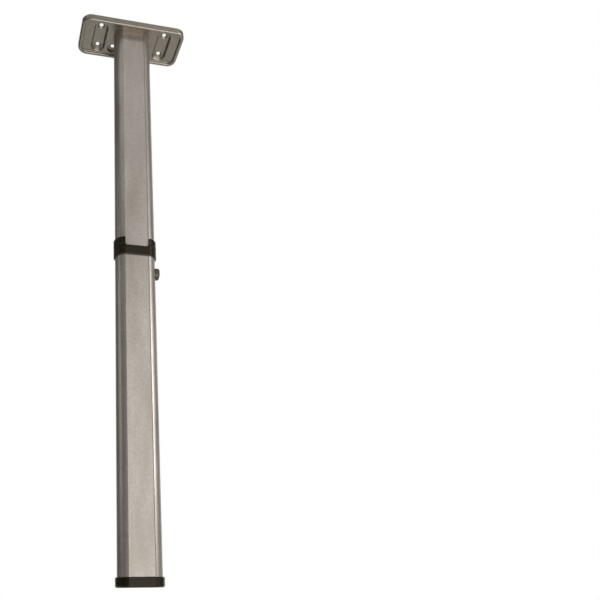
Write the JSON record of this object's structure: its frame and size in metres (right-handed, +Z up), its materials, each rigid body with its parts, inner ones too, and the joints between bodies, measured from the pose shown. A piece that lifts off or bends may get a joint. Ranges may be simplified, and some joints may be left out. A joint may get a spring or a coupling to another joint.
{
  "type": "folding table leg",
  "caption": "Folding table leg: stamped mounting plate, lobed aluminium tube with a push-button knee joint near mid-height, and a plastic foot cap.",
  "frame": {"origin": "centre of the plate's four main screw holes, in the plane of the table's underside, which the pressed pockets and the plate's edge touch", "axes": "+Z up into the table top, X along the wide side of the tube and the knee axis, +Y towards the side the lower half folds to"},
  "size_m": [0.136, 0.06, 0.7],
  "materials": {
    "plate_steel": "satin",
    "tube_aluminium": "satin",
    "black_plastic": "satin",
    "grey_plastic": "satin",
    "white_plastic": "matt",
    "zinc_steel": "satin",
    "spring_steel": "bright",
    "rivet_aluminium": "satin"
  },
  "bodies": {
    "upper_half": {"mounting_plate": "plate_steel", "top_anchor": "zinc_steel", "plate_screws": "zinc_steel", "anchor_rivets": "rivet_aluminium", "upper_tube": "tube_aluminium", "upper_collar": "black_plastic", "upper_bracket": "zinc_steel", "strike_block": "zinc_steel", "block_pins": "spring_steel", "block_rivets": "rivet_aluminium", "hinge_pin": "spring_steel", "pin_clips": "spring_steel", "hinge_washers": "white_plastic"},
    "lower_half": {"hinge_link": "zinc_steel", "link_pins": "spring_steel", "lower_insert": "black_plastic", "insert_rivets": "rivet_aluminium", "bolt_spring": "spring_steel", "button_spring": "spring_steel", "lower_tube": "tube_aluminium", "lower_collar": "black_plastic", "foot_cap": "black_plastic"},
    "button": {"release_button": "grey_plastic"},
    "bolt": {"lock_bolt": "zinc_steel", "bolt_guide_pin": "spring_steel"}
  },
  "joints": [
    {"name": "knee", "type": "hinge", "parent": "upper_half", "child": "lower_half", "pos_m": [0, -0.0002, -0.2905], "axis": [1, 0, 0], "range_deg": [0, 90]},
    {"name": "button_press", "type": "slide", "parent": "lower_half", "child": "button", "axis": [-1, 0, 0], "range_m": [0, 0.004], "stiffness_N_per_m": 600, "springref_m": -0.006, "deforming": ["button_spring"]},
    {"name": "bolt_draw", "type": "slide", "parent": "lower_half", "child": "bolt", "axis": [0, 0, -1], "range_m": [0, 0.004], "deforming": ["bolt_spring"]}
  ],
  "couplings": [
    {"joint": "bolt_draw", "follows": "button_press", "ratio": 1}
  ]
}
